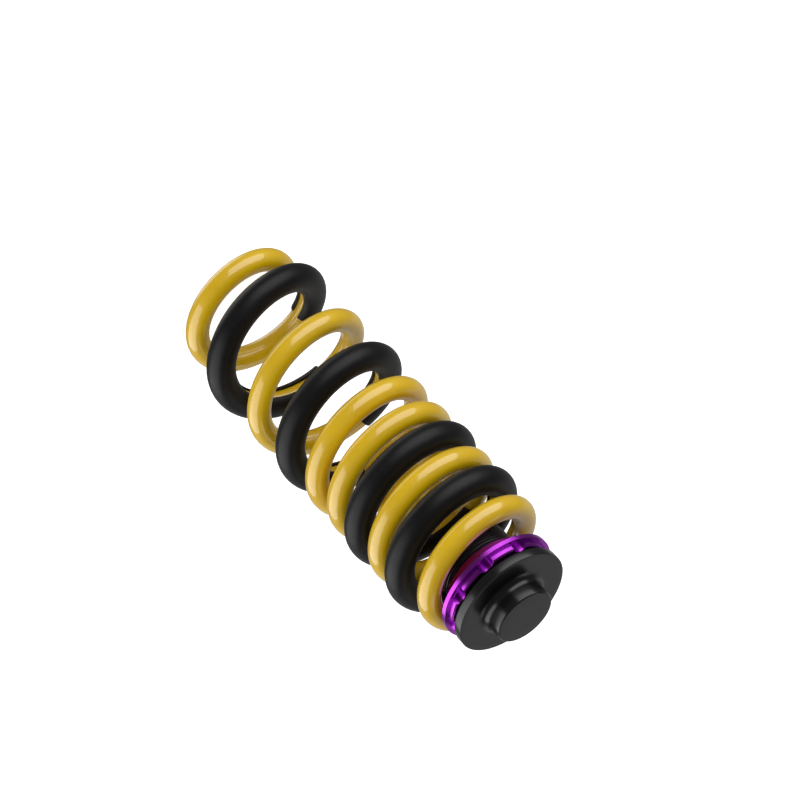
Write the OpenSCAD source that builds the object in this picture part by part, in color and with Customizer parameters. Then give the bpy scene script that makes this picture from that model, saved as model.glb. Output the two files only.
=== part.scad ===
// Rear axle spring set with a threaded height adjuster. One yellow progressive
// coil spring wears four black protective hoses. Its near end seats on a
// screwed adjusting ring that runs on a threaded tube under a mounting plate.
//
// Frame: origin at the centre of the mounting plate's seating face, +Z up
// through the locating nose, so the spring hangs down along -Z.

/* [Main spring] */
// Diameter of the spring wire
wire_d = 14.6; // [12:0.1:16]
// Mean radius of the open coils
coil_r = 40.9; // [38:0.1:52]
// Mean radius of the closed coil at the far end
far_coil_r = 34.9; // [30:0.1:44]
// Height of the unloaded spring, from the ring's seat to its far tip
spring_h = 270.6; // [215:1:330]

/* [Protective hoses] */
// Wall of the split hose
hose_wall = 1.2; // [0.8:0.1:2]
// Gap between the wire and the hose's bore
hose_clear = 0.5; // [0.35:0.05:0.8]
// How far a hose sits outwards of the wire, pushed by its slit
hose_shift = 0.3; // [0:0.05:0.4]
// Length of each hose, in turns of the coil
hose_turns = 0.917; // [0.5:0.001:0.95]
// Half the angle of the slit, seen in the hose's section
slit_half_angle = 22; // [10:1:40]

/* [Mounting plate] */
// Diameter of the plate
plate_d = 74.9; // [70:0.1:90]
// Thickness of the plate's rim
plate_t = 5.7; // [4:0.1:9]
// Diameter of the locating nose
nose_d = 38.8; // [26:0.1:46]
// Height of the nose above the seating face
nose_h = 13.3; // [10:0.1:20]
// Radius of the hollow fillet round the nose's base
nose_fillet_r = 5; // [2:0.1:6]
// Radius of the nose's front edge
nose_edge_r = 1.2; // [0.5:0.1:3]
// Chamfer of the plate's rim
plate_chamfer = 0.4; // [0.2:0.1:1]

/* [Threaded tube] */
// Major diameter of the thread
thread_d = 50; // [46:0.5:52]
// Pitch of the thread
thread_pitch = 2; // [1.5:0.25:3]
// Radial depth of the thread
thread_depth = 1; // [0.5:0.1:1.2]
// Length of the tube below the mounting plate
tube_l = 41.6; // [38:0.5:70]
// Bore of the tube
tube_bore_d = 40; // [30:0.5:42]
// Thickness of the wall that closes the tube's bore at the plate
tube_wall = 3; // [2:0.5:6]
// Diameter of the stub that centres the tube in the plate
stub_d = 20; // [12:0.5:26]
// How deep the stub sits in the plate
stub_l = 3; // [2:0.1:4]

/* [Adjusting ring] */
// Diameter of the flange that carries the spring
ring_d = 77; // [73:0.1:92]
// Height of the flange
flange_h = 3.3; // [2:0.1:5]
// Radial step from the flange in to the slotted rim
rim_step = 2.5; // [0.5:0.1:4]
// Height of the ring from the slotted rim's face to the spring's seat
ring_h = 7.6; // [6.5:0.1:14]
// Diameter of the collar that centres the spring
collar_d = 56.4; // [54:0.1:64]
// Height of the collar below the seat
collar_h = 9.4; // [5:0.1:14]
// Gap between the ring and the mounting plate at rest
ring_gap = 3.6; // [1.5:0.1:6]
// Number of spanner slots
slot_count = 9; // [6:1:12]
// Width of a spanner slot at the rim
slot_w = 10.4; // [6:0.1:12]
// Depth of a spanner slot
slot_depth = 3.6; // [2:0.1:4]
// Height between the flange and the ends of the slots
slot_land = 0.3; // [0.1:0.1:1]
// Chamfer of the ring's lower rim and of its collar
ring_chamfer = 0.8; // [0.3:0.1:1.5]
// Radial gap between the tube's thread and the ring's bore
thread_clear = 0.06; // [0.02:0.01:0.1]
// Gap between the seat and the spring's near tip
seat_clear = 0.3; // [0.1:0.1:1]
// Radial gap between the collar and the spring's near coil
collar_clear = 0.8; // [0.5:0.1:4]

/* [Lock screw] */
// Diameter of the grub screw
screw_d = 3; // [2:0.5:4]
// Length of the grub screw
screw_l = 5; // [4:0.5:6]
// Width across the flats of the screw's socket
socket_af = 1.5; // [0.9:0.1:2]
// Length of the soft pad between the screw and the thread
pad_l = 2; // [1:0.25:3]
// Radial gap round the screw and its pad
screw_clear = 0.04; // [0.02:0.01:0.1]

/* [Hidden] */

// Places along the axis
plate_back_z = -plate_t;
ring_top_z = plate_back_z - ring_gap;
seat_z = ring_top_z - ring_h;
collar_end_z = seat_z - collar_h;
tube_end_z = plate_back_z - tube_l;

// Radii that follow from what fits together
wire_r = wire_d / 2;
thread_r = thread_d / 2;
ring_bore_r = thread_r + thread_clear;
stub_r = stub_d / 2;
near_coil_r = collar_d / 2 + collar_clear + wire_r;
hose_bore_r = wire_r + hose_clear;
hose_r = hose_bore_r + hose_wall;

// The coil. Turns are counted from 0 at the far tip to coil_turns at the near
// tip. The far tip points to far_tip_angle.
steps_per_turn = 36;
coil_turns = 357 / steps_per_turn;
far_tip_angle = 151;
wire_sides = 12;
hose_sides = 14;

// Pitch along the wire, as [turn, pitch]: closed at the far tip, widest over the
// second turn, close-wound towards the near end, and closed again at the near
// tip. rise() scales the whole plan to spring_h.
pitch_plan = [
    [0, 7],
    [1.4, 45.2],
    [2.2, 37.5],
    [5.1, 21.3],
    [8.5, 19.9],
    [9.15, 29.8],
    [coil_turns, 7.5],
];

// The wire narrows to the closed far coil and to the coil that the collar centres
far_narrowing = [0.33, 1.33];
near_narrowing = [8.85, 9.9];

// Where each hose starts, counted in turns from the far tip
hose_starts = [0.944, 2.861, 6, 7.833];

// Height climbed between two turns inside one stretch of the pitch plan
function stretch_rise(i, from, to) =
    let (a = max(from, pitch_plan[i][0]))
    let (b = min(to, pitch_plan[i + 1][0]))
    b <= a ? 0 : (b - a) * lookup((a + b) / 2, pitch_plan);

function sum(values, i = 0) = i == len(values) ? 0 : values[i] + sum(values, i + 1);

// Relative height of a turn above the far tip
function rise(turn) =
    sum([for (i = [0 : len(pitch_plan) - 2]) stretch_rise(i, 0, turn)]);

full_rise = rise(coil_turns);
far_wire_z = seat_z - spring_h + wire_r;
near_wire_z = seat_z - seat_clear - wire_r;

function wire_z(turn) =
    far_wire_z + (near_wire_z - far_wire_z) * rise(turn) / full_rise;
function wire_angle(turn) = far_tip_angle + 360 * turn;
function smooth(x, span) =
    let (f = min(max((x - span[0]) / (span[1] - span[0]), 0), 1))
    f * f * (3 - 2 * f);
function coil_radius(turn) =
    far_coil_r
    + (coil_r - far_coil_r) * smooth(turn, far_narrowing)
    + (near_coil_r - coil_r) * smooth(turn, near_narrowing);

// A point of a section that rides the coil: u is outwards, v is across the wire
function outwards(turn) = [cos(wire_angle(turn)), sin(wire_angle(turn)), 0];
function slope(turn) =
    let (d = 0.01)
    atan((wire_z(turn + d) - wire_z(turn - d)) / (4 * PI * d * coil_radius(turn)));
function across(turn) =
    let (a = wire_angle(turn), s = slope(turn))
    [sin(a) * sin(s), -cos(a) * sin(s), cos(s)];
function on_coil(turn, u, v) =
    (coil_radius(turn) + u) * outwards(turn) + v * across(turn) + [0, 0, wire_z(turn)];

function ring_steps(from, to) = round((to - from) * steps_per_turn);
function turn_at(from, to, i) = from + (to - from) * i / ring_steps(from, to);

// Section outlines, run the same way round
wire_section = [
    for (k = [0 : wire_sides - 1])
        let (a = 360 * k / wire_sides)
        [wire_r * cos(a), wire_r * sin(a)]
];
function hose_arc(r, k) =
    let (half = 180 - slit_half_angle)
    let (a = -half + 2 * half * k / hose_sides)
    [hose_shift + r * cos(a), r * sin(a)];
hose_section = concat(
    [for (k = [0 : hose_sides]) hose_arc(hose_r, k)],
    [for (k = [hose_sides : -1 : 0]) hose_arc(hose_bore_r, k)]
);

// A solid swept along the coil between two turns
module sweep(section, from, to) {
    rings = ring_steps(from, to);
    n = len(section);
    points = [
        for (i = [0 : rings])
            let (t = turn_at(from, to, i))
            for (p = section) on_coil(t, p[0], p[1])
    ];
    sides = [
        for (i = [0 : rings - 1], k = [0 : n - 1])
            let (a = i * n + k, b = i * n + (k + 1) % n)
            for (face = [[a, b + n, b], [a, a + n, b + n]]) face
    ];
    near_cap = [for (k = [0 : n - 1]) rings * n + n - 1 - k];
    far_cap = [for (k = [0 : n - 1]) k];
    polyhedron(points, concat(sides, [far_cap, near_cap]), convexity = 20);
}

// The one-piece spring wire
module main_spring() {
    color("gold") sweep(wire_section, 0, coil_turns);
}

// A split hose, its slit facing the spring's axis
module protective_hose(i) {
    start = hose_starts[i];
    color([0.07, 0.07, 0.07]) sweep(hose_section, start, start + hose_turns);
}

// Half profile of the ring, cut by its slots afterwards
rim_r = ring_d / 2 - rim_step;
flange_z = seat_z + flange_h;
module ring_blank() {
    flange_r = ring_d / 2;
    collar_r = collar_d / 2;
    rotate_extrude($fn = 120)
        polygon([
            [ring_bore_r, collar_end_z],
            [collar_r - ring_chamfer, collar_end_z],
            [collar_r, collar_end_z + ring_chamfer],
            [collar_r, seat_z],
            [flange_r, seat_z],
            [flange_r, flange_z],
            [rim_r, flange_z],
            [rim_r, ring_top_z - ring_chamfer],
            [rim_r - ring_chamfer, ring_top_z],
            [ring_bore_r, ring_top_z],
        ]);
}

// Spanner slots with round bottoms, open towards the mounting plate
slot_r = slot_w / 2 + 0.2;
slot_floor_r = rim_r - slot_depth;
slot_bottom_z = flange_z + slot_land;
first_slot_angle = 264;
module slots() {
    for (k = [0 : slot_count - 1])
        rotate(first_slot_angle + 360 * k / slot_count)
            translate([slot_floor_r + slot_r, 0, slot_bottom_z])
                cylinder(r = slot_r, h = ring_h, $fn = 48);
}

// The lock screw's radial axis runs through the middle of a slot at the back
lock_slot = 4;
lock_angle = first_slot_angle + 360 * lock_slot / slot_count;
lock_z = (slot_bottom_z + ring_top_z) / 2;
pad_start_r = ring_bore_r;
screw_start_r = pad_start_r + pad_l;
screw_r = screw_d / 2;
module on_lock_axis(start_r) {
    rotate(lock_angle) translate([start_r, 0, lock_z]) rotate([0, 90, 0]) children();
}

module adjusting_ring() {
    color("darkviolet")
        difference() {
            ring_blank();
            slots();
            on_lock_axis(ring_bore_r / 2)
                cylinder(r = screw_r + screw_clear, h = ring_d / 2, $fn = 32);
        }
}

module lock_screw() {
    socket_depth = screw_l / 2;
    color("dimgray")
        on_lock_axis(screw_start_r)
            difference() {
                cylinder(r = screw_r, h = screw_l, $fn = 32);
                translate([0, 0, screw_l - socket_depth])
                    cylinder(r = socket_af / sqrt(3), h = screw_l, $fn = 6);
            }
}

module lock_pad() {
    color("white")
        on_lock_axis(pad_start_r + screw_clear)
            cylinder(r = screw_r - screw_clear, h = pad_l - screw_clear, $fn = 32);
}

// One thread groove for each pitch of the tube, cut as a ring
thread_runout = 2;
thread_turns = floor((tube_l - 2 * thread_runout) / thread_pitch);
module thread_grooves() {
    for (k = [0 : thread_turns - 1])
        translate([0, tube_end_z + thread_runout + (k + 0.5) * thread_pitch])
            polygon([
                [thread_r + 0.1, -thread_pitch * 0.45],
                [thread_r - thread_depth, -thread_pitch * 0.08],
                [thread_r - thread_depth, thread_pitch * 0.08],
                [thread_r + 0.1, thread_pitch * 0.45],
            ]);
}

module threaded_tube() {
    bore_r = tube_bore_d / 2;
    color([0.1, 0.1, 0.11])
        rotate_extrude($fn = 120)
            difference() {
                union() {
                    translate([bore_r, tube_end_z])
                        square([thread_r - bore_r, tube_l]);
                    translate([0, plate_back_z - tube_wall])
                        square([thread_r, tube_wall]);
                    translate([0, plate_back_z]) square([stub_r, stub_l]);
                }
                thread_grooves();
                translate([thread_r, tube_end_z])
                    rotate(45)
                        square(thread_depth * sqrt(2), center = true);
            }
}

module mounting_plate() {
    plate_r = plate_d / 2;
    nose_r = nose_d / 2;
    color([0.16, 0.16, 0.16])
        rotate_extrude($fn = 120)
            difference() {
                union() {
                    translate([0, plate_back_z]) square([plate_r, plate_t]);
                    square([nose_r, nose_h - nose_edge_r]);
                    square([nose_r - nose_edge_r, nose_h]);
                    translate([nose_r - nose_edge_r, nose_h - nose_edge_r])
                        intersection() {
                            circle(nose_edge_r, $fn = 48);
                            square(nose_edge_r);
                        }
                    difference() {
                        translate([nose_r, 0]) square(nose_fillet_r);
                        translate([nose_r + nose_fillet_r, nose_fillet_r])
                            circle(nose_fillet_r, $fn = 64);
                    }
                }
                translate([0, plate_back_z]) square([stub_r, stub_l]);
                translate([plate_r, 0])
                    rotate(45)
                        square(plate_chamfer * sqrt(2), center = true);
                translate([plate_r, plate_back_z])
                    rotate(45)
                        square(plate_chamfer * sqrt(2), center = true);
            }
}

main_spring();
protective_hose(0);  // protective_hose_1
protective_hose(1);  // protective_hose_2
protective_hose(2);  // protective_hose_3
protective_hose(3);  // protective_hose_4
adjusting_ring();
lock_screw();
lock_pad();
threaded_tube();
mounting_plate();
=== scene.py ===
"""Rear axle coil spring with its threaded height adjuster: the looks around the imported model.

Shapes are worked out in millimetres, with part.scad's names and values, and stored in metres.
"""
import math

import bmesh
import bpy
from mathutils import Matrix, Vector, noise


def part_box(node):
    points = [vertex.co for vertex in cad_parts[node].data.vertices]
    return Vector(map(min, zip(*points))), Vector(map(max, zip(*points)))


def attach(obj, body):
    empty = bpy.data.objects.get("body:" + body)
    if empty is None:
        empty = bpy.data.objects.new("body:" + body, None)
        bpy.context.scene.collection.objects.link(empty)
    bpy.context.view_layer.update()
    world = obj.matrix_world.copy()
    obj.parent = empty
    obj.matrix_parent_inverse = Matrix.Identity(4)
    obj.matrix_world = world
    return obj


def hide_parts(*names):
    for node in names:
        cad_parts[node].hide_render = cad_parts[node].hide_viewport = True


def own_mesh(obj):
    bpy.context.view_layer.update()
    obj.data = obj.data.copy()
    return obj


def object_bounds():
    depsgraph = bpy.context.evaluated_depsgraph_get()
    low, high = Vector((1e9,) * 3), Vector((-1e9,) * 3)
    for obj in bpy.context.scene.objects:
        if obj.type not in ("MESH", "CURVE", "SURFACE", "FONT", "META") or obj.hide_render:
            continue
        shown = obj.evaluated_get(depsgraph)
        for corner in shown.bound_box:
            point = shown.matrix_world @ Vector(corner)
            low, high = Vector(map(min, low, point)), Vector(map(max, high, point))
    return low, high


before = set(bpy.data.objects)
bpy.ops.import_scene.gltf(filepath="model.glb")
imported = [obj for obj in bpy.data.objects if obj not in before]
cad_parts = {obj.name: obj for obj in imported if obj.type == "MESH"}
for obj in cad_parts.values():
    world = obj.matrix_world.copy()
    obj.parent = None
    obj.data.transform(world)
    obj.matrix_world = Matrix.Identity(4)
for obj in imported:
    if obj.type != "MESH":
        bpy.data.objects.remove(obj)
cad_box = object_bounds()

MM = 0.001


def box_mm(node):
    low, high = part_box(node)
    return [v / MM for v in low], [v / MM for v in high]


# Sizes, as in part.scad
wire_r = 7.3
coil_r = 40.9
far_coil_r = 34.9
spring_h = 270.6
hose_wall = 1.2
hose_clear = 0.5
hose_shift = 0.3
hose_turns = 0.917
slit_half_angle = 22
plate_r = 37.45
nose_r = 19.4
nose_fillet_r = 5
nose_edge_r = 1.2
thread_r = 25
thread_pitch = 2
thread_depth = 1
tube_bore_r = 20
tube_wall = 3
stub_r = 10
stub_l = 3
ring_r = 38.5
rim_step = 2.5
rim_r = ring_r - rim_step
flange_h = 3.3
collar_r = 28.2
collar_h = 9.4
slot_count = 9
slot_r = 5.4
slot_depth = 3.6
first_slot_angle = 264
lock_slot = 4
slot_land = 0.3
thread_clear = 0.06
seat_clear = 0.3
collar_clear = 0.8
screw_r = 1.5
screw_clear = 0.04

# Places along the axis, from the CAD boxes
plate_low, plate_high = box_mm("mounting_plate")
tube_low = box_mm("threaded_tube")[0]
ring_low, ring_high = box_mm("adjusting_ring")
plate_back_z = plate_low[2]
nose_top_z = plate_high[2]
tube_end_z = tube_low[2]
collar_end_z = ring_low[2]
ring_top_z = ring_high[2]
seat_z = collar_end_z + collar_h

# ---------------------------------------------------------------- the coil
STEPS = 36
coil_turns = 357 / STEPS
far_tip_angle = 151
pitch_plan = [
    (0, 7),
    (1.4, 45.2),
    (2.2, 37.5),
    (5.1, 21.3),
    (8.5, 19.9),
    (9.15, 29.8),
    (coil_turns, 7.5),
]
far_narrowing = (0.33, 1.33)
near_narrowing = (8.85, 9.9)
hose_starts = (0.944, 2.861, 6, 7.833)
near_coil_r = collar_r + collar_clear + wire_r
far_wire_z = seat_z - spring_h + wire_r
near_wire_z = seat_z - seat_clear - wire_r


def plan_pitch(turn):
    for (a, p), (b, q) in zip(pitch_plan, pitch_plan[1:]):
        if turn <= b:
            return p + (q - p) * (turn - a) / (b - a)
    return pitch_plan[-1][1]


def rise(turn):
    total = 0
    for (a, _), (b, _) in zip(pitch_plan, pitch_plan[1:]):
        high = min(turn, b)
        if high > a:
            total += (high - a) * plan_pitch((a + high) / 2)
    return total


def wire_z(turn):
    return far_wire_z + (near_wire_z - far_wire_z) * rise(turn) / rise(coil_turns)


def smooth(x, span):
    f = min(max((x - span[0]) / (span[1] - span[0]), 0), 1)
    return f * f * (3 - 2 * f)


def coil_radius(turn):
    return (
        far_coil_r
        + (coil_r - far_coil_r) * smooth(turn, far_narrowing)
        + (near_coil_r - coil_r) * smooth(turn, near_narrowing)
    )


def on_coil(turn, u, v):
    """A point beside the wire's centre: u is outwards, v is across the wire."""
    a = math.radians(far_tip_angle + 360 * turn)
    d = 0.01
    climb = wire_z(min(turn + d, coil_turns)) - wire_z(max(turn - d, 0))
    way = min(turn + d, coil_turns) - max(turn - d, 0)
    s = math.atan(climb / (2 * math.pi * way * coil_radius(turn)))
    out = Vector((math.cos(a), math.sin(a), 0))
    across = Vector((math.sin(a) * math.sin(s), -math.cos(a) * math.sin(s), math.cos(s)))
    return coil_radius(turn) * out + u * out + v * across + Vector((0, 0, wire_z(turn)))


# ---------------------------------------------------------------- mesh makers
def finish_mesh(name, bm, sharp=32):
    bmesh.ops.recalc_face_normals(bm, faces=bm.faces)
    if bm.calc_volume(signed=True) < 0:
        bmesh.ops.reverse_faces(bm, faces=bm.faces)
    mesh = bpy.data.meshes.new(name)
    bm.to_mesh(mesh)
    bm.free()
    mesh.polygons.foreach_set("use_smooth", [True] * len(mesh.polygons))
    mesh.set_sharp_from_angle(angle=math.radians(sharp))
    piece = bpy.data.objects.new(name, mesh)
    bpy.context.scene.collection.objects.link(piece)
    return piece


def skin(bm, rows, close_rows=True, close_loop=False):
    """Quads over rows of points in millimetres. Returns the rows of vertices."""
    made = [[bm.verts.new(Vector(p) * MM) for p in row] for row in rows]
    pairs = list(zip(made, made[1:]))
    if close_loop:
        pairs.append((made[-1], made[0]))
    for a, b in pairs:
        n = len(a)
        for i in range(n if close_rows else n - 1):
            j = (i + 1) % n
            bm.faces.new((a[i], a[j], b[j], b[i]))
    return made


def circle(r, z, count):
    step = 2 * math.pi / count
    return [(r * math.cos(i * step), r * math.sin(i * step), z) for i in range(count)]


def arc(cx, cz, r, start, end, count):
    """Points of an arc in the (radius, height) plane, in degrees."""
    out = []
    for i in range(count + 1):
        a = math.radians(start + (end - start) * i / count)
        out.append((cx + r * math.cos(a), cz + r * math.sin(a)))
    return out


# ---------------------------------------------------------------- the wire
def make_wire():
    """The coil's wire, cut square at both tips with a broken edge."""
    sides = 40
    per_turn = 72
    edge = 0.7
    mm_turn = 2 * math.pi * far_coil_r
    turns = [0, edge / mm_turn]
    count = int(coil_turns * per_turn)
    turns += [coil_turns * i / count for i in range(1, count)]
    turns += [coil_turns - edge / mm_turn, coil_turns]
    radii = [wire_r - edge] + [wire_r] * (len(turns) - 2) + [wire_r - edge]
    rows = []
    for turn, r in zip(turns, radii):
        row = []
        for k in range(sides):
            a = 2 * math.pi * k / sides
            row.append(on_coil(turn, r * math.cos(a), r * math.sin(a)))
        rows.append(row)
    bm = bmesh.new()
    made = skin(bm, rows)
    bm.faces.new(list(reversed(made[0])))
    bm.faces.new(made[-1])
    return finish_mesh("spring_wire", bm)


# ---------------------------------------------------------------- the hoses
def hose_section(trim, swell):
    """The C of a split hose, its slit facing the axis: outer wall, round lip, bore, round lip."""
    inner = wire_r + hose_clear + trim
    outer = wire_r + hose_clear + hose_wall - trim + swell
    half = 180 - slit_half_angle
    steps = 44
    mid = (inner + outer) / 2
    lip = (outer - inner) / 2
    points = []
    for i in range(steps + 1):
        a = math.radians(-half + 2 * half * i / steps)
        points.append((hose_shift + outer * math.cos(a), outer * math.sin(a)))
    for i in range(1, 4):
        points.append(lip_point(half, mid, lip, 180 * i / 4))
    for i in range(steps + 1):
        a = math.radians(half - 2 * half * i / steps)
        points.append((hose_shift + inner * math.cos(a), inner * math.sin(a)))
    for i in range(1, 4):
        points.append(lip_point(-half, mid, lip, 180 - 180 * i / 4, -1))
    return points


def lip_point(at, mid, lip, turn, side=1):
    a = math.radians(at)
    b = math.radians(turn)
    r = mid + lip * math.cos(b)
    along = side * lip * math.sin(b) * 0.8
    return (
        hose_shift + r * math.cos(a) - along * math.sin(a),
        r * math.sin(a) + along * math.cos(a),
    )


def make_hose(number, start):
    """One split hose, cut square, with the slight swelling of soft rubber on a bent wire."""
    per_turn = 72
    end = start + hose_turns
    edge = 0.3 / (2 * math.pi * coil_r)
    count = int(hose_turns * per_turn)
    turns = [start, start + edge]
    turns += [start + hose_turns * i / count for i in range(1, count)]
    turns += [end - edge, end]
    rows = []
    for i, turn in enumerate(turns):
        trim = 0.25 if i in (0, len(turns) - 1) else 0
        wave = noise.noise(Vector((turn * 9, number * 7.3, 0.5)))
        section = hose_section(trim, 0.10 * wave)
        rows.append([on_coil(turn, u, v) for u, v in section])
    bm = bmesh.new()
    made = skin(bm, rows)
    for row in (made[0], made[-1]):
        bm.faces.new(row)
    faces = [f for f in bm.faces if len(f.verts) > 4]
    bmesh.ops.triangulate(bm, faces=faces)
    return finish_mesh("hose_%d_rubber" % number, bm, 40)


# ---------------------------------------------------------------- turned parts
def make_plate():
    """The mounting plate and its nose, turned in one piece, with the pocket for the tube."""
    pocket_z = plate_back_z + stub_l
    rim = 0.4
    profile = [(0.4, pocket_z), (stub_r, pocket_z), (stub_r, plate_back_z)]
    profile += [(plate_r - rim, plate_back_z)]
    profile += arc(plate_r - rim, plate_back_z + rim, rim, -90, 0, 5)[1:]
    profile += arc(plate_r - rim, -rim, rim, 0, 90, 5)
    profile += [(plate_r - 4, 0), (plate_r - 8, 0)]
    profile += arc(nose_r + nose_fillet_r, nose_fillet_r, nose_fillet_r, 270, 180, 20)
    profile += [(nose_r, (nose_fillet_r + nose_top_z - nose_edge_r) / 2)]
    edge = arc(nose_r - nose_edge_r, nose_top_z - nose_edge_r, nose_edge_r, 0, 90, 10)
    profile += edge
    profile += [(nose_r * 0.6, nose_top_z), (0.4, nose_top_z)]
    bm = bmesh.new()
    made = skin(bm, [circle(r, z, 192) for r, z in profile])
    bm.faces.new(made[0])
    bm.faces.new(made[-1])
    return finish_mesh("plate_and_nose", bm, 30)


def make_tube():
    """The tube, with its real right-hand thread running out into a chamfer at the free end."""
    around = 144
    per_pitch = 10
    crest = 0.14
    root = 0.42
    env_end = thread_r - thread_depth - 0.15
    top_z = plate_back_z - 0.05

    def thread(phase):
        x = phase % 1
        x = min(x, 1 - x)
        f = (x - crest) / (root - crest)
        return thread_r - thread_depth * min(max(f, 0), 1)

    def envelope(z):
        return min(env_end + (z - tube_end_z) * 0.9, env_end + max(top_z - z, 0) * 0.9)

    rows_count = int((top_z - tube_end_z) / thread_pitch * per_pitch) + 3 * per_pitch
    bm = bmesh.new()
    columns = []
    for j in range(around + 1):
        lead = per_pitch * j / around
        column = []
        for i in range(rows_count):
            turn = (i + lead - 1.5 * per_pitch) / per_pitch
            z = tube_end_z + turn * thread_pitch
            z = min(max(z, tube_end_z), top_z)
            r = min(thread(i / per_pitch), envelope(z))
            a = 2 * math.pi * (j % around) / around
            column.append(bm.verts.new(Vector((r * math.cos(a), r * math.sin(a), z)) * MM))
        columns.append(column)
    for a, b in zip(columns, columns[1:]):
        for i in range(rows_count - 1):
            bm.faces.new((a[i], b[i], b[i + 1], a[i + 1]))
    inside = [
        (env_end, tube_end_z),
        (tube_bore_r + 0.6, tube_end_z),
        (tube_bore_r, tube_end_z + 0.6),
        (tube_bore_r, plate_back_z - tube_wall - 0.8),
        (tube_bore_r - 0.8, plate_back_z - tube_wall),
        (0.5, plate_back_z - tube_wall),
    ]
    outside = [
        (env_end, top_z),
        (stub_r - 0.02, top_z),
        (stub_r - 0.02, plate_back_z + stub_l - 0.02),
        (0.5, plate_back_z + stub_l - 0.02),
    ]
    for profile in (inside, outside):
        made = skin(bm, [circle(r, z, around) for r, z in profile])
        bm.faces.new(made[-1])
    bmesh.ops.remove_doubles(bm, verts=bm.verts, dist=2e-6)
    return finish_mesh("tube_with_thread", bm, 38)


def slot_reach(r):
    """Half the angle that a slot takes out of a circle of radius r, in radians."""
    c = rim_r - slot_depth + slot_r
    return math.acos((r * r + c * c - slot_r * slot_r) / (2 * r * c))


def ring_row(r, z, slotted):
    """One closed row round the ring, dipping into the spanner slots where slotted."""
    c = rim_r - slot_depth + slot_r
    share = 2 * math.pi / slot_count
    broken = 0.16
    inside = 14
    land = 14
    reach = slot_reach(min(max(r, rim_r - 2), rim_r))
    row = []
    for k in range(slot_count):
        mid = math.radians(first_slot_angle) + share * k
        lip = broken / r
        for i in range(inside + 1):
            s = -1 + 2 * i / inside
            a = s * (reach - lip)
            d = c * math.cos(a) - math.sqrt(slot_r**2 - (c * math.sin(a)) ** 2)
            q = min(d, r) if slotted else r
            row.append((q * math.cos(mid + a), q * math.sin(mid + a), z))
        first = reach + lip
        last = share - reach - lip
        for i in range(land + 1):
            a = first + (last - first) * i / land
            row.append((r * math.cos(mid + a), r * math.sin(mid + a), z))
    return row


def make_ring():
    """The adjusting ring: plain bore, collar, flange, and slotted rim."""
    bore = thread_r + thread_clear
    flange_z = seat_z + flange_h
    slot_z = flange_z + slot_land
    edge = 0.3
    top = 0.8
    profile = [
        (bore, ring_top_z - 0.5, False),
        (bore, collar_end_z + 0.5, False),
        (bore + 0.5, collar_end_z, False),
        (collar_r - 0.8, collar_end_z, False),
        (collar_r, collar_end_z + 0.8, False),
        (collar_r, seat_z - 0.35, False),
        (collar_r + 0.12, seat_z - 0.1, False),
        (collar_r + 0.4, seat_z, False),
        (ring_r - edge, seat_z, False),
        (ring_r, seat_z + edge, False),
        (ring_r, flange_z - edge, False),
        (ring_r - edge, flange_z, False),
        (rim_r, flange_z, False),
        (rim_r, slot_z, False),
        (rim_r, slot_z + 0.03, True),
        (rim_r, ring_top_z - top, True),
        (rim_r - top, ring_top_z, True),
        (rim_r - slot_depth - 0.5, ring_top_z, False),
        (bore + 0.5, ring_top_z, False),
    ]
    bm = bmesh.new()
    skin(bm, [ring_row(r, z, s) for r, z, s in profile], close_loop=True)
    piece = finish_mesh("ring_with_slots", bm, 30)
    drill = lock_hole()
    cut = piece.modifiers.new("lock_hole", "BOOLEAN")
    cut.object = drill
    cut.operation = "DIFFERENCE"
    cut.solver = "MANIFOLD"
    bake_modifiers(piece)
    bpy.data.objects.remove(drill)
    piece.data.set_sharp_from_angle(angle=math.radians(30))
    return piece


def lock_hole():
    """The drill for the lock screw's radial hole, in the middle of one slot."""
    angle = math.radians(first_slot_angle + 360 * lock_slot / slot_count)
    z = (seat_z + flange_h + slot_land + ring_top_z) / 2
    bm = bmesh.new()
    r = screw_r + screw_clear
    bmesh.ops.create_cone(
        bm, cap_ends=True, segments=48, radius1=r * MM, radius2=r * MM, depth=24 * MM
    )
    turn = Matrix.Rotation(angle, 4, "Z") @ Matrix.Rotation(math.pi / 2, 4, "Y")
    out = Vector((math.cos(angle), math.sin(angle), 0)) * 31
    bm.transform(Matrix.Translation((out + Vector((0, 0, z))) * MM) @ turn)
    return finish_mesh("drill", bm)


def bake_modifiers(piece):
    """Applies a piece's modifiers to its mesh."""
    shown = piece.evaluated_get(bpy.context.evaluated_depsgraph_get())
    made = bpy.data.meshes.new_from_object(shown)
    piece.modifiers.clear()
    piece.data = made


# ---------------------------------------------------------------- materials
def new_material(name, **values):
    m = bpy.data.materials.new(name)
    m.use_nodes = True
    shader = m.node_tree.nodes["Principled BSDF"]
    for key, value in values.items():
        shader.inputs[key.replace("_", " ")].default_value = value
    return m, m.node_tree, shader


def object_coords(tree):
    return tree.nodes.new("ShaderNodeTexCoord").outputs["Object"]


def add_noise(tree, scale, detail=3, roughness=0.5, where=None):
    node = tree.nodes.new("ShaderNodeTexNoise")
    node.inputs["Scale"].default_value = scale
    node.inputs["Detail"].default_value = detail
    node.inputs["Roughness"].default_value = roughness
    tree.links.new(where or object_coords(tree), node.inputs["Vector"])
    return node.outputs["Fac"]


def add_ramp(tree, source, low, high, low_at=0.3, high_at=0.7):
    node = tree.nodes.new("ShaderNodeValToRGB")
    node.color_ramp.elements[0].position = low_at
    node.color_ramp.elements[1].position = high_at
    node.color_ramp.elements[0].color = low
    node.color_ramp.elements[1].color = high
    tree.links.new(source, node.inputs["Fac"])
    return node.outputs["Color"]


def add_range(tree, source, low, high):
    node = tree.nodes.new("ShaderNodeMapRange")
    node.inputs["To Min"].default_value = low
    node.inputs["To Max"].default_value = high
    tree.links.new(source, node.inputs["Value"])
    return node.outputs["Result"]


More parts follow.
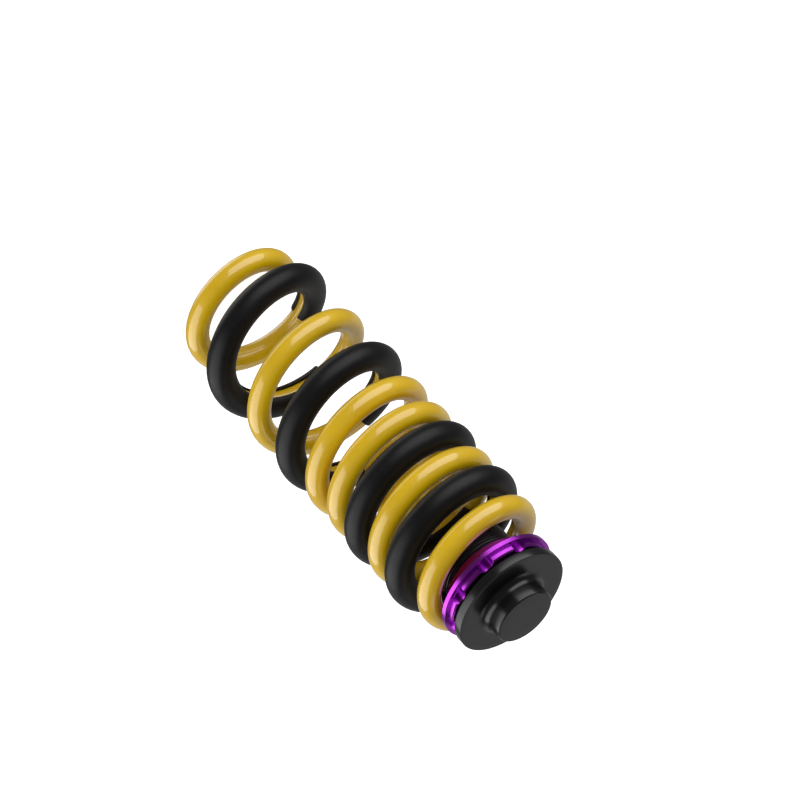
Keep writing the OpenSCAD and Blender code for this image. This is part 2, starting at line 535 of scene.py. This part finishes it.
def add_bump(tree, shader, source, strength, distance, before=None):
    node = tree.nodes.new("ShaderNodeBump")
    node.inputs["Strength"].default_value = strength
    node.inputs["Distance"].default_value = distance
    tree.links.new(source, node.inputs["Height"])
    if before is not None:
        tree.links.new(before, node.inputs["Normal"])
    tree.links.new(node.outputs["Normal"], shader.inputs["Normal"])
    return node.outputs["Normal"]


def turning_marks(tree, pitch):
    """The fine rings that a lathe leaves, pitch metres apart along the radius and the axis."""
    split = tree.nodes.new("ShaderNodeSeparateXYZ")
    tree.links.new(object_coords(tree), split.inputs["Vector"])
    flat = tree.nodes.new("ShaderNodeCombineXYZ")
    tree.links.new(split.outputs["X"], flat.inputs["X"])
    tree.links.new(split.outputs["Y"], flat.inputs["Y"])
    length = tree.nodes.new("ShaderNodeVectorMath")
    length.operation = "LENGTH"
    tree.links.new(flat.outputs["Vector"], length.inputs[0])
    total = tree.nodes.new("ShaderNodeMath")
    total.operation = "ADD"
    tree.links.new(length.outputs["Value"], total.inputs[0])
    tree.links.new(split.outputs["Z"], total.inputs[1])
    again = tree.nodes.new("ShaderNodeCombineXYZ")
    tree.links.new(total.outputs["Value"], again.inputs["X"])
    return add_noise(tree, 1 / pitch, 2, 0.6, again.outputs["Vector"])


def yellow_coat():
    """Gloss powder coat: deep yellow under a clear skin with a slight orange peel."""
    m, tree, shader = new_material(
        "yellow_coat",
        Roughness=0.34,
        Specular_IOR_Level=0.5,
        Coat_Weight=0.9,
        Coat_Roughness=0.03,
    )
    colour = add_ramp(
        tree, add_noise(tree, 45, 4), (0.66, 0.41, 0.001, 1), (0.74, 0.47, 0.002, 1)
    )
    tree.links.new(colour, shader.inputs["Base Color"])
    tree.links.new(add_range(tree, add_noise(tree, 160, 3), 0.28, 0.40), shader.inputs["Roughness"])
    add_bump(tree, shader, add_noise(tree, 620, 2), 0.05, 0.0004)
    return m


def hose_rubber():
    """Satin black rubber with a faint skin and dust-grey variation."""
    m, tree, shader = new_material(
        "hose_rubber", Roughness=0.42, Specular_IOR_Level=0.22, Sheen_Weight=0.01
    )
    colour = add_ramp(
        tree, add_noise(tree, 70, 5), (0.0025, 0.0025, 0.003, 1), (0.006, 0.006, 0.0065, 1)
    )
    tree.links.new(colour, shader.inputs["Base Color"])
    tree.links.new(add_range(tree, add_noise(tree, 240, 4), 0.36, 0.48), shader.inputs["Roughness"])
    add_bump(tree, shader, add_noise(tree, 1500, 3), 0.10, 0.0002)
    return m


def purple_anodised():
    """Turned aluminium under a purple anodised skin."""
    m, tree, shader = new_material("purple_anodised", Metallic=1.0, Roughness=0.22)
    colour = add_ramp(
        tree, add_noise(tree, 60, 3), (0.41, 0.042, 0.53, 1), (0.47, 0.062, 0.60, 1)
    )
    tree.links.new(colour, shader.inputs["Base Color"])
    marks = turning_marks(tree, 0.0004)
    tree.links.new(add_range(tree, marks, 0.16, 0.30), shader.inputs["Roughness"])
    add_bump(tree, shader, marks, 0.06, 0.0002)
    return m


def black_anodised():
    """The tube's black anodised skin, a little lighter in random patches."""
    m, tree, shader = new_material("black_anodised", Roughness=0.30, Specular_IOR_Level=0.6)
    colour = add_ramp(
        tree, add_noise(tree, 90, 4), (0.008, 0.008, 0.009, 1), (0.020, 0.020, 0.022, 1)
    )
    tree.links.new(colour, shader.inputs["Base Color"])
    tree.links.new(add_range(tree, add_noise(tree, 300, 3), 0.22, 0.38), shader.inputs["Roughness"])
    add_bump(tree, shader, add_noise(tree, 900, 2), 0.05, 0.0002)
    return m


def plate_satin_black():
    """Satin black anodised plate with faint turning marks."""
    m, tree, shader = new_material("plate_satin_black", Roughness=0.30, Specular_IOR_Level=0.45)
    marks = turning_marks(tree, 0.0007)
    colour = add_ramp(tree, marks, (0.003, 0.003, 0.003, 1), (0.006, 0.006, 0.006, 1))
    tree.links.new(colour, shader.inputs["Base Color"])
    tree.links.new(add_range(tree, add_noise(tree, 200, 4), 0.20, 0.29), shader.inputs["Roughness"])
    add_bump(tree, shader, marks, 0.04, 0.0002)
    return m


def screw_steel():
    """Blackened steel grub screw."""
    m, tree, shader = new_material("screw_steel", Metallic=1.0, Roughness=0.35)
    colour = add_ramp(tree, add_noise(tree, 900, 4), (0.05, 0.05, 0.055, 1), (0.12, 0.12, 0.13, 1))
    tree.links.new(colour, shader.inputs["Base Color"])
    add_bump(tree, shader, add_noise(tree, 2500, 3), 0.08, 0.0001)
    return m


def pad_plastic():
    """The soft white pad under the screw."""
    m, tree, shader = new_material("pad_plastic", Roughness=0.55, Subsurface_Weight=0.05)
    colour = add_ramp(tree, add_noise(tree, 500, 3), (0.68, 0.68, 0.66, 1), (0.78, 0.78, 0.76, 1))
    tree.links.new(colour, shader.inputs["Base Color"])
    add_bump(tree, shader, add_noise(tree, 1800, 3), 0.08, 0.0001)
    return m


def clothe(piece, material):
    piece.data.materials.clear()
    piece.data.materials.append(material)


# ---------------------------------------------------------------- the pieces
yellow = yellow_coat()
rubber = hose_rubber()

wire = make_wire()
clothe(wire, yellow)
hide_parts("main_spring")
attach(wire, "spring")

plate = make_plate()
clothe(plate, plate_satin_black())
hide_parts("mounting_plate")
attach(plate, "adjuster")

tube = make_tube()
clothe(tube, black_anodised())
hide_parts("threaded_tube")
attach(tube, "adjuster")

ring = make_ring()
clothe(ring, purple_anodised())
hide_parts("adjusting_ring")
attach(ring, "ring")

for node, material in (("lock_screw", screw_steel()), ("lock_pad", pad_plastic())):
    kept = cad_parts[node]
    kept.data.materials.clear()
    kept.data.materials.append(material)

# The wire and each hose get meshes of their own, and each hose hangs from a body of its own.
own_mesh(wire)
for i, start in enumerate(hose_starts):
    hose = make_hose(i + 1, start)
    clothe(hose, rubber)
    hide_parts("protective_hose_%d" % (i + 1))
    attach(hose, "hose_%d" % (i + 1))
    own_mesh(hose)

# ---------------------------------------------------------------- the studio
floor_z = cad_box[0][2] - 0.0005
bm = bmesh.new()
bmesh.ops.create_grid(bm, x_segments=8, y_segments=8, size=9)
bm.transform(Matrix.Translation((0, 2, floor_z)))
floor = finish_mesh("floor", bm)
m, tree, shader = new_material("floor_white", Roughness=0.9, Specular_IOR_Level=0.1)
shader.inputs["Base Color"].default_value = (0.93, 0.93, 0.93, 1)
shader.inputs["Emission Color"].default_value = (1, 1, 1, 1)
shader.inputs["Emission Strength"].default_value = 0.85
floor.data.materials.append(m)
# The floor shows its own white but takes no part in the light on the object.
floor.visible_glossy = False
floor.visible_diffuse = False
floor.visible_shadow = False


# Where the softboxes point
light_target = (0, 0, -0.13)
# How bright the studio is, by direction
front_glow = 0.015
back_glow = 0.34
overhead_share = 0.15
low_glow = 0.12
nadir_glow = 1.7
diffuse_fill = 0.16


def light_range(tree, source, start, end, low, high):
    """Goes from low to high as the source goes from start to end, with soft ends."""
    node = tree.nodes.new("ShaderNodeMapRange")
    node.interpolation_type = "SMOOTHSTEP"
    node.inputs["From Min"].default_value = start
    node.inputs["From Max"].default_value = end
    node.inputs["To Min"].default_value = low
    node.inputs["To Max"].default_value = high
    tree.links.new(source, node.inputs["Value"])
    return node.outputs["Result"]


def light_math(tree, operation, a, b):
    node = tree.nodes.new("ShaderNodeMath")
    node.operation = operation
    tree.links.new(a, node.inputs[0])
    tree.links.new(b, node.inputs[1])
    return node.outputs["Value"]


def light_world():
    """A studio that is dark in front and overhead, and pale behind and straight below.

    Diffuse light gets a small even fill, and the camera sees plain white.
    """
    world = bpy.context.scene.world or bpy.data.worlds.new("studio")
    bpy.context.scene.world = world
    world.use_nodes = True
    tree = world.node_tree
    split = tree.nodes.new("ShaderNodeSeparateXYZ")
    coords = tree.nodes.new("ShaderNodeTexCoord")
    tree.links.new(coords.outputs["Generated"], split.inputs["Vector"])
    behind = light_range(tree, split.outputs["Y"], 0.62, 0.82, front_glow, back_glow)
    overhead = light_range(tree, split.outputs["Z"], 0.5, 0.9, 1, overhead_share)
    strip_start = light_range(tree, split.outputs["Z"], 0.66, 0.71, 0, 1)
    strip_end = light_range(tree, split.outputs["Z"], 0.80, 0.85, 1, 0)
    strip_side = light_range(tree, split.outputs["Y"], 0.3, 0.5, 0, 1)
    strip = light_math(
        tree, "MULTIPLY", light_math(tree, "MULTIPLY", strip_start, strip_end), strip_side
    )
    below = light_range(tree, split.outputs["Z"], -0.97, -0.85, nadir_glow, low_glow)
    glow = light_math(tree, "ADD", light_math(tree, "MULTIPLY", behind, overhead), below)
    glow = light_math(tree, "ADD", glow, strip)
    path = tree.nodes.new("ShaderNodeLightPath")
    fill = light_range(tree, path.outputs["Is Diffuse Ray"], 0, 1, 0, diffuse_fill)
    glow = light_math(tree, "ADD", glow, fill)
    seen = path.outputs["Is Camera Ray"]
    background = tree.nodes["Background"]
    background.inputs["Color"].default_value = (1, 1, 1, 1)
    tree.links.new(light_math(tree, "MAXIMUM", glow, seen), background.inputs["Strength"])


def softbox(name, place, width, height, power):
    """An area light aimed at the middle of the spring."""
    light = bpy.data.lights.new(name, "AREA")
    light.shape = "RECTANGLE"
    light.size = width
    light.size_y = height
    light.energy = power
    lamp = bpy.data.objects.new(name, light)
    lamp.location = place
    aim = Vector(light_target) - Vector(place)
    lamp.rotation_euler = aim.to_track_quat("-Z", "Y").to_euler()
    bpy.context.scene.collection.objects.link(lamp)
    return lamp


light_world()
softbox("softbox_right", (-1.3, -0.9, -0.1), 2.1, 1.6, 27)
softbox("softbox_left", (1.5, -0.2, -0.15), 2.4, 1.9, 32)

camera_data = bpy.data.cameras.new("camera")
camera_data.lens = 207.9
camera_data.sensor_width = 36
camera_data.clip_start = 0.1
camera_data.clip_end = 60
camera = bpy.data.objects.new("camera", camera_data)
camera_place = (-0.0322, -2.394, 1.245)
elevation = math.radians(30.26)
roll = math.radians(137.26)
camera.matrix_world = (
    Matrix.Translation(camera_place)
    @ Matrix.Rotation(math.pi / 2 - elevation, 4, "X")
    @ Matrix.Rotation(roll, 4, "Z")
)
bpy.context.scene.collection.objects.link(camera)
bpy.context.scene.camera = camera
bpy.context.scene.view_settings.view_transform = "Standard"
